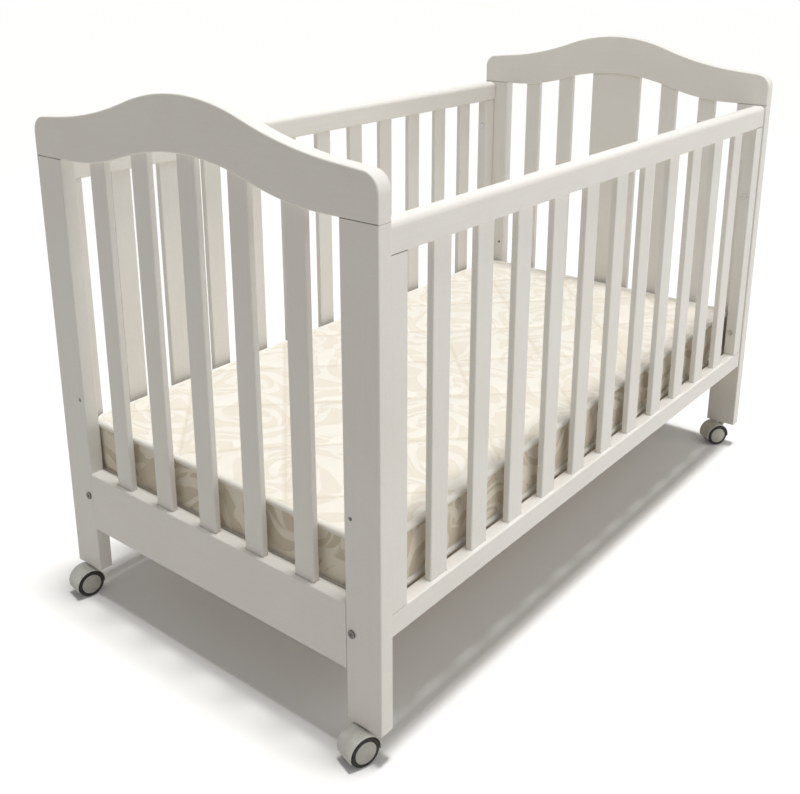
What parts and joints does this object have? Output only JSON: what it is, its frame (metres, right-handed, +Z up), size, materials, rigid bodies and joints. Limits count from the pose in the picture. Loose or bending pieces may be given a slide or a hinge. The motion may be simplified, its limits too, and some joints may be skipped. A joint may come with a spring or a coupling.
{
  "type": "baby crib",
  "caption": "Slatted baby crib with two arched-crest ends, slatted side panels, a slatted bolt-in base, a quilted mattress and hooded twin-wheel casters.",
  "frame": {"origin": "on the floor under the middle of the frame, level with the casters' treads", "axes": "+X towards the head end (the end with the wide centre splat), +Z up, the front side panel faces -Y"},
  "size_m": [1.4002, 0.7488, 0.96],
  "materials": {
    "white_paint": "satin white paint over wood",
    "bare_pine": "clear matt lacquer",
    "bare_beech": "bare",
    "mattress_ticking": "quilted ivory damask ticking",
    "black_bolt": "dark oxide with a worn socket",
    "zinc_steel": "bright zinc plate",
    "hood_plastic": "warm grey moulded plastic",
    "cap_plastic": "warm grey moulded plastic",
    "wheel_rubber": "black soft tread"
  },
  "bodies": {
    "frame": {"back_bottom_rail": "white_paint", "back_foot_stile": "white_paint", "back_head_stile": "white_paint", "back_slats": "white_paint", "back_top_rail": "white_paint", "base_back_rail": "bare_pine", "base_barrel_nuts": "zinc_steel", "base_bolts": "black_bolt", "base_foot_rail": "bare_pine", "base_frame_screws": "zinc_steel", "base_front_rail": "bare_pine", "base_head_rail": "bare_pine", "base_slat_screws": "zinc_steel", "base_slats": "bare_pine", "caster_stems": "zinc_steel", "end_dowels": "bare_beech", "foot_back_post": "white_paint", "foot_crest_rail": "white_paint", "foot_front_post": "white_paint", "foot_lower_rail": "white_paint", "foot_slats": "white_paint", "front_bottom_rail": "white_paint", "front_foot_stile": "white_paint", "front_head_stile": "white_paint", "front_slats": "white_paint", "front_top_rail": "white_paint", "head_back_post": "white_paint", "head_crest_rail": "white_paint", "head_front_post": "white_paint", "head_lower_rail": "white_paint", "head_slats": "white_paint", "head_splat": "white_paint", "side_bolts": "zinc_steel", "side_dowels": "bare_beech", "side_inserts": "zinc_steel"},
    "mattress": {"mattress": "mattress_ticking"},
    "foot_front_caster": {"foot_front_caster_hood": "hood_plastic", "foot_front_caster_axle": "zinc_steel"},
    "foot_front_front_roller": {"foot_front_front_wheel": "wheel_rubber", "foot_front_front_cap": "cap_plastic"},
    "foot_front_back_roller": {"foot_front_back_wheel": "wheel_rubber", "foot_front_back_cap": "cap_plastic"},
    "foot_back_caster": {"foot_back_caster_hood": "hood_plastic", "foot_back_caster_axle": "zinc_steel"},
    "foot_back_front_roller": {"foot_back_front_wheel": "wheel_rubber", "foot_back_front_cap": "cap_plastic"},
    "foot_back_back_roller": {"foot_back_back_wheel": "wheel_rubber", "foot_back_back_cap": "cap_plastic"},
    "head_front_caster": {"head_front_caster_hood": "hood_plastic", "head_front_caster_axle": "zinc_steel"},
    "head_front_front_roller": {"head_front_front_wheel": "wheel_rubber", "head_front_front_cap": "cap_plastic"},
    "head_front_back_roller": {"head_front_back_wheel": "wheel_rubber", "head_front_back_cap": "cap_plastic"},
    "head_back_caster": {"head_back_caster_hood": "hood_plastic", "head_back_caster_axle": "zinc_steel"},
    "head_back_front_roller": {"head_back_front_wheel": "wheel_rubber", "head_back_front_cap": "cap_plastic"},
    "head_back_back_roller": {"head_back_back_wheel": "wheel_rubber", "head_back_back_cap": "cap_plastic"}
  },
  "joints": [
    {"name": "mattress_lift", "type": "slide", "parent": "frame", "child": "mattress", "axis": [0, 0, 1], "range_m": [0, 0.7]},
    {"name": "foot_front_swivel", "type": "hinge", "parent": "frame", "child": "foot_front_caster", "pos_m": [-0.6655, -0.339, 0.056], "axis": [0, 0, 1], "continuous": true},
    {"name": "foot_front_front_roll", "type": "hinge", "parent": "foot_front_caster", "child": "foot_front_front_roller", "pos_m": [-0.68463, -0.33315, 0.025], "axis": [0.2924, 0.9563, 0], "continuous": true},
    {"name": "foot_front_back_roll", "type": "hinge", "parent": "foot_front_caster", "child": "foot_front_back_roller", "pos_m": [-0.68463, -0.33315, 0.025], "axis": [0.2924, 0.9563, 0], "continuous": true},
    {"name": "foot_back_swivel", "type": "hinge", "parent": "frame", "child": "foot_back_caster", "pos_m": [-0.6655, 0.339, 0.056], "axis": [0, 0, 1], "continuous": true},
    {"name": "foot_back_front_roll", "type": "hinge", "parent": "foot_back_caster", "child": "foot_back_front_roller", "pos_m": [-0.6852, 0.34247, 0.025], "axis": [0.1736, 0.9848, 0], "continuous": true},
    {"name": "foot_back_back_roll", "type": "hinge", "parent": "foot_back_caster", "child": "foot_back_back_roller", "pos_m": [-0.6852, 0.34247, 0.025], "axis": [0.1736, 0.9848, 0], "continuous": true},
    {"name": "head_front_swivel", "type": "hinge", "parent": "frame", "child": "head_front_caster", "pos_m": [0.6655, -0.339, 0.056], "axis": [0, 0, 1], "continuous": true},
    {"name": "head_front_front_roll", "type": "hinge", "parent": "head_front_caster", "child": "head_front_front_roller", "pos_m": [0.64932, -0.32724, 0.025], "axis": [0.5878, 0.809, 0], "continuous": true},
    {"name": "head_front_back_roll", "type": "hinge", "parent": "head_front_caster", "child": "head_front_back_roller", "pos_m": [0.64932, -0.32724, 0.025], "axis": [0.5878, 0.809, 0], "continuous": true},
    {"name": "head_back_swivel", "type": "hinge", "parent": "frame", "child": "head_back_caster", "pos_m": [0.6655, 0.339, 0.056], "axis": [0, 0, 1], "continuous": true},
    {"name": "head_back_front_roll", "type": "hinge", "parent": "head_back_caster", "child": "head_back_front_roller", "pos_m": [0.64723, 0.34714, 0.025], "axis": [0.4067, 0.9135, 0], "continuous": true},
    {"name": "head_back_back_roll", "type": "hinge", "parent": "head_back_caster", "child": "head_back_back_roller", "pos_m": [0.64723, 0.34714, 0.025], "axis": [0.4067, 0.9135, 0], "continuous": true}
  ]
}
